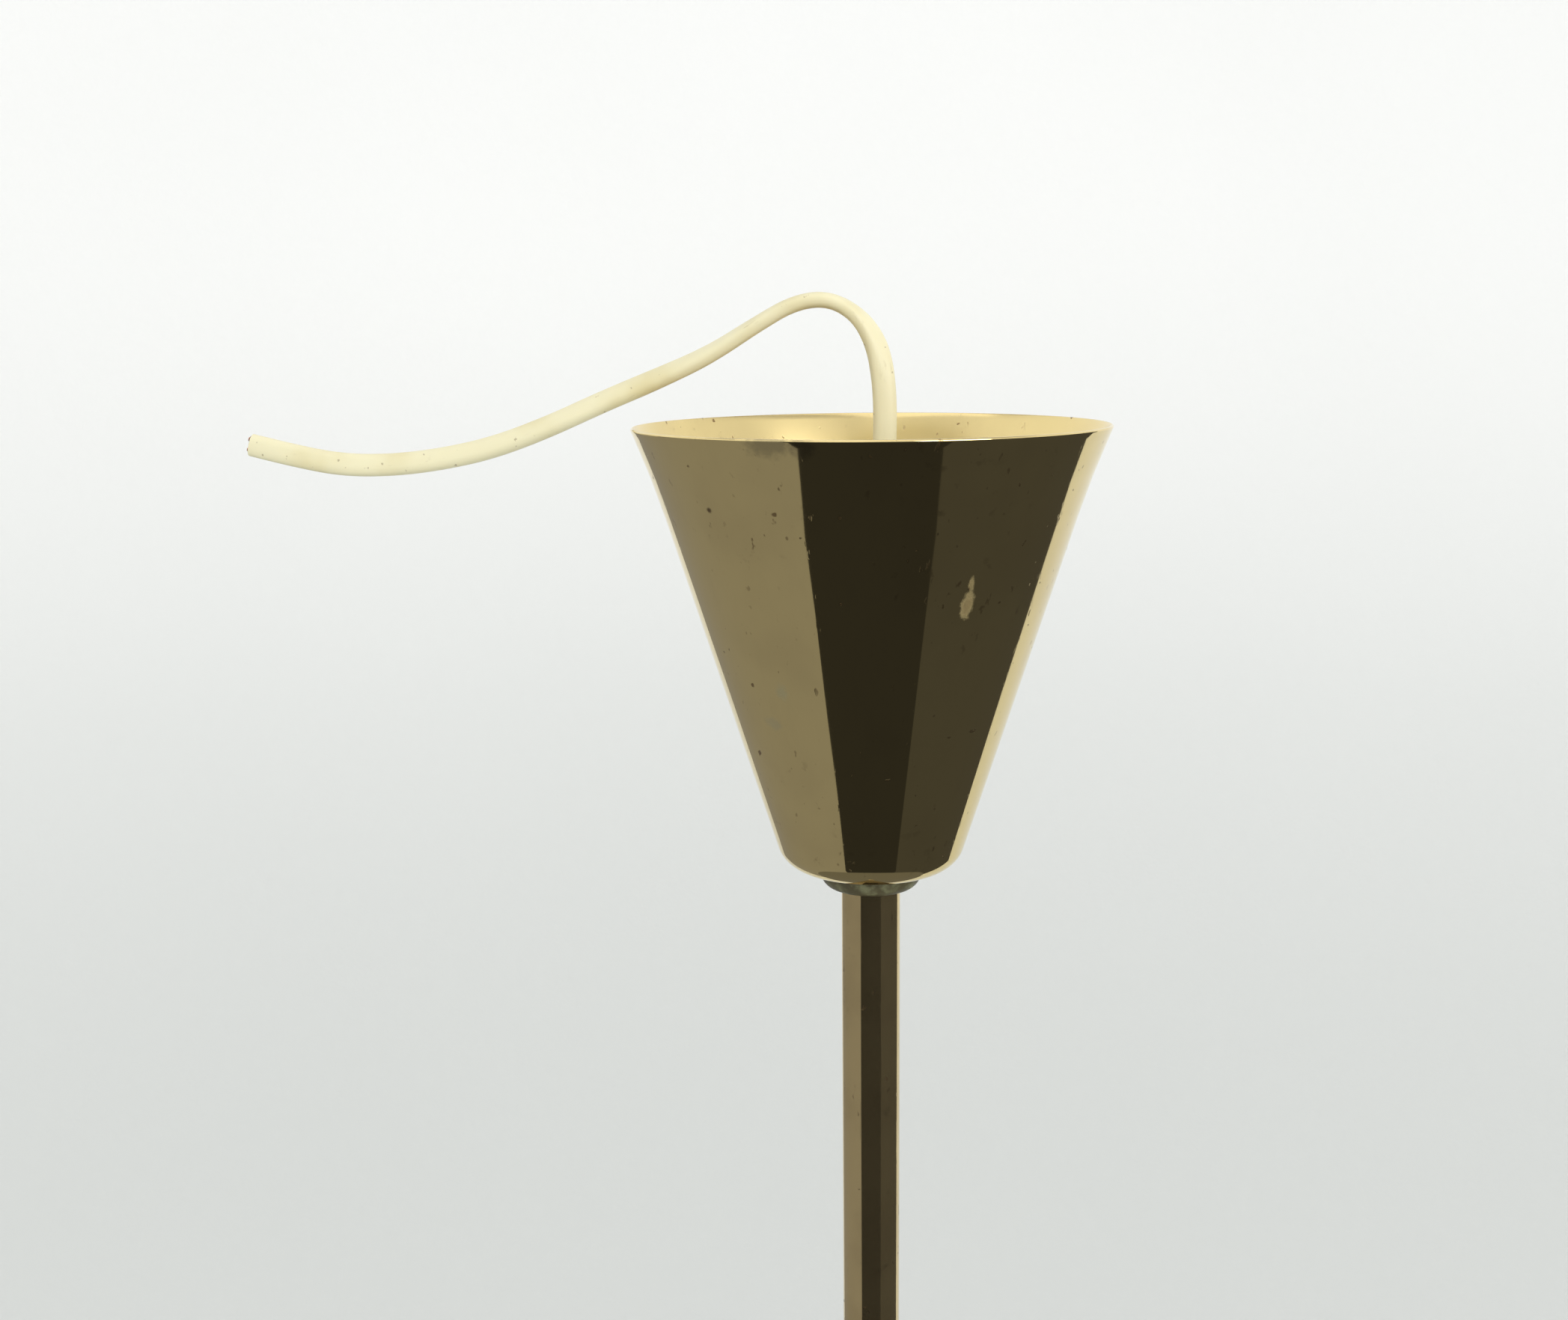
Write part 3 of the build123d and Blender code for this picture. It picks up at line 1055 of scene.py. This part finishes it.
buildNut("yokeNut", nutFacts, nutFacts["yokeNutFoot"], "yoke_nut")
buildNut("lowerLockNut", nutFacts, nutFacts["lowerNutFoot"], "lower_lock_nut")

nippleFacts = {
    "crest": 4.98,
    "root": 4.42,
    "bore": 4.0,
    "pitch": 1.0,
    # heights of one pitch's outline: end of the root, start and end of the crest
    "rootEnd": 0.12,
    "crestStart": 0.44,
    "crestEnd": 0.62,
    "foot": -263.1,
    "top": -250.0,
    "sides": 48,
    "bright": (0.76, 0.60, 0.32, 1.0),
    "dull": (0.46, 0.34, 0.17, 1.0),
    "cloudScale": 300.0,
    "roughness": 0.24,
}
nippleBrass = steelFinish("nippleBrass", nippleFacts)


def threadSleeve(facts):
    # one pitch of the thread's outline, screwed up the axis and cut flat at both ends
    low = facts["foot"] - facts["pitch"]
    outline = [
        (facts["root"], 0, low),
        (facts["root"], 0, low + facts["rootEnd"]),
        (facts["crest"], 0, low + facts["crestStart"]),
        (facts["crest"], 0, low + facts["crestEnd"]),
        (facts["root"], 0, low + facts["pitch"]),
    ]
    sleeve = chainPiece("lowerNipple", outline)
    turns = math.ceil(facts["top"] - facts["foot"]) + 2
    steps = facts["sides"]
    applyModifier(
        sleeve, "SCREW", screw_offset=facts["pitch"] * mm, iterations=turns, steps=steps, render_steps=steps,
        axis="Z", use_merge_vertices=False,
    )
    bpy.ops.object.mode_set(mode="EDIT")
    bpy.ops.mesh.select_all(action="SELECT")
    bpy.ops.mesh.remove_doubles(threshold=0.004 * mm)
    for height, below in ((facts["foot"], True), (facts["top"], False)):
        bpy.ops.mesh.select_all(action="SELECT")
        bpy.ops.mesh.bisect(
            plane_co=(0, 0, height * mm), plane_no=(0, 0, 1), clear_inner=below, clear_outer=not below
        )
    leaveEdit()
    return sleeve


def buildNipple(facts):
    sleeve = threadSleeve(facts)
    for height in (facts["foot"], facts["top"]):
        pick(sleeve, lambda place: abs(place.z - height * mm) < 0.001 * mm)
        bpy.ops.mesh.primitive_circle_add(
            vertices=facts["sides"], radius=facts["bore"] * mm, location=(0, 0, height * mm)
        )
        leaveEdit()
        pick(sleeve, lambda place: abs(place.z - height * mm) < 0.001 * mm)
        bpy.ops.mesh.bridge_edge_loops()
        leaveEdit()
    pick(sleeve, lambda place: place.xy.length < (facts["bore"] + 0.01) * mm)
    bpy.ops.mesh.bridge_edge_loops()
    bpy.ops.mesh.select_all(action="SELECT")
    bpy.ops.mesh.normals_make_consistent(inside=False)
    leaveEdit()
    smooth(sleeve, 50)
    settle(sleeve, "stem", "nipple_brass", nippleBrass, "lower_nipple")


buildNipple(nippleFacts)


# End bush in the lower nipple, of white plastic

bushFacts = {
    "flangeRadius": 4.8,
    "flangeFoot": -264.3,
    "nippleFoot": -263.1,
    "sleeveRadius": 3.9,
    "sleeveTop": -257.1,
    "bore": 3.0,
    "plastic": paint(236, 232, 218),
    "plasticAged": paint(214, 204, 172),
}


def plasticFinish(name, fresh, aged):
    finish = Finish(name, roughness=0.4)
    place = finish.place()
    cloud = finish.noise(place, 140.0, 3.0)
    dust = finish.noise(place, 900.0, 3.0)
    colour = finish.mix(cloud.between(0.4, 0.7), fresh, aged)
    colour = finish.mix(dust.between(0.6, 0.75) * 0.3, colour, paint(120, 104, 78))
    finish.set("Base Color", colour)
    finish.set("Roughness", 0.34 + dust * 0.22)
    finish.set("Subsurface Weight", 0.06)
    finish.set("Subsurface Radius", (0.001, 0.0008, 0.0006))
    finish.bump(dust * 0.6 + cloud * 0.4, 0.00005)
    return finish.material


def buildBush(facts):
    outline = roundedLoop(
        [
            (facts["flangeRadius"], facts["flangeFoot"]),
            (facts["flangeRadius"], facts["nippleFoot"]),
            (facts["sleeveRadius"], facts["nippleFoot"]),
            (facts["sleeveRadius"], facts["sleeveTop"]),
            (facts["bore"], facts["sleeveTop"]),
            (facts["bore"], facts["flangeFoot"]),
        ],
        [0.4, 0.15, 0.1, 0.2, 0.2, 0.4],
        20,
    )
    bush = turnPiece("lowerEndBush", outline, 80)
    smooth(bush, 40)
    plastic = plasticFinish("bushPlastic", facts["plastic"], facts["plasticAged"])
    settle(bush, "stem", "bush_plastic", plastic, "lower_end_bush")


buildBush(bushFacts)


# Cord grip: plastic body, pressure pad and slotted screw

gripFacts = {
    "foot": -42.0,
    "flats": 15.0,
    "hexHeight": 7.0,
    "radius": 7.0,
    "top": -26.0,
    "topEdge": 1.2,
    "threadBore": 5.0,
    "channelX": 3.05,
    "channelFront": -4.7,
    "channelBack": 1.9,
    "roof": 1.5,
    "slotLength": 5.8,
    "slotWidth": 4.0,
    "screwHeight": -31.5,
    "screwHole": 2.0,
    "plastic": paint(232, 226, 206),
    "plasticAged": paint(206, 194, 158),
    "padLow": (-2.6, -2.95, -34.1),
    "padHigh": (2.6, -1.75, -28.9),
    "screwTip": -3.0,
    "shank": 1.95,
    "headStart": -7.6,
    "headRadius": 3.2,
    "headHeight": 2.0,
    "slotCut": 0.9,
    "slotDeep": 1.1,
}


def buildGrip(facts):
    corner = facts["flats"] / 2 / math.cos(math.pi / 6)
    hexTop = facts["foot"] + facts["hexHeight"]
    body = rodPiece("cordGripBody", corner, facts["foot"], hexTop, 6, math.pi / 6)
    softenEdges(body, 0.5, 3, 30)
    barrel = turnPiece(
        "barrel",
        roundedLine(
            [(1.0, facts["foot"] + 1), (facts["radius"], facts["foot"] + 1), (facts["radius"], facts["top"]),
             (1.0, facts["top"])],
            [0.4, facts["topEdge"]],
            15,
        ),
        96,
        capped=True,
    )
    carve(body, barrel, "UNION")
    carve(body, rodPiece("cutter", facts["threadBore"], facts["foot"] - 1, hexTop, 64))
    low = (-facts["channelX"], facts["channelFront"], hexTop - 0.01)
    high = (facts["channelX"], facts["channelBack"], facts["top"] - facts["roof"])
    carve(body, boxPiece("cutter", low, high))
    half = (facts["slotLength"] - facts["slotWidth"]) / 2
    slot = rodPiece("cutter", facts["slotWidth"] / 2, hexTop - 1, facts["top"] + 1, 48)
    pick(slot, lambda place: place.x > 0.01 * mm)
    bpy.ops.transform.translate(value=(half * mm, 0, 0))
    leaveEdit()
    pick(slot, lambda place: place.x < -0.01 * mm)
    bpy.ops.transform.translate(value=(-half * mm, 0, 0))
    leaveEdit()
    carve(body, slot)
    begin()
    bpy.ops.mesh.primitive_cylinder_add(
        vertices=48, radius=facts["screwHole"] * mm, depth=6 * mm,
        location=(0, (facts["channelFront"] - 2) * mm, facts["screwHeight"] * mm),
        rotation=(math.pi / 2, 0, 0),
    )
    carve(body, nameNew("cutter"))
    smooth(body, 35)
    plastic = plasticFinish("gripPlastic", facts["plastic"], facts["plasticAged"])
    settle(body, "stem", "grip_plastic", plastic, "cord_grip_body")

    pad = boxPiece("cordGripPad", facts["padLow"], facts["padHigh"])
    softenEdges(pad, 0.25, 3)
    smooth(pad, 35)
    settle(pad, "grip_pad", "grip_plastic", plastic, "cord_grip_pad")


def buildGripScrew(facts):
    shank = facts["screwTip"] - facts["headStart"]
    head = shank + facts["headHeight"]
    outline = roundedLine(
        [(0.4, 0), (facts["shank"], 0), (facts["shank"], shank), (facts["headRadius"], shank),
         (facts["headRadius"], head), (0.4, head)],
        [0.5, 0.1, 0.15, 0.7],
        15,
    )
    screw = turnPiece("cordGripScrew", outline, 64, capped=True)
    half = facts["slotCut"] / 2
    carve(screw, boxPiece("cutter", (-5, -half, head - facts["slotDeep"]), (5, half, head + 1)))
    screw.rotation_euler = (math.pi / 2, 0, 0)
    screw.location = (0, facts["screwTip"] * mm, facts["screwHeight"] * mm)
    begin()
    screw.select_set(True)
    bpy.context.view_layer.objects.active = screw
    bpy.ops.object.transform_apply(location=True, rotation=True)
    smooth(screw, 35)
    settle(screw, "grip_screw", "screw_steel", screwSteel, "cord_grip_screw")


buildGrip(gripFacts)
buildGripScrew(gripFacts)


# CAD nodes that keep their own shape, inside the stem

def dressNode(node, material):
    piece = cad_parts[node]
    piece.data.materials.clear()
    piece.data.materials.append(material)
    print("dressed", node)


dressNode("top_nipple", nippleBrass)
dressNode("cable_in_stem", cable.data.materials[0])
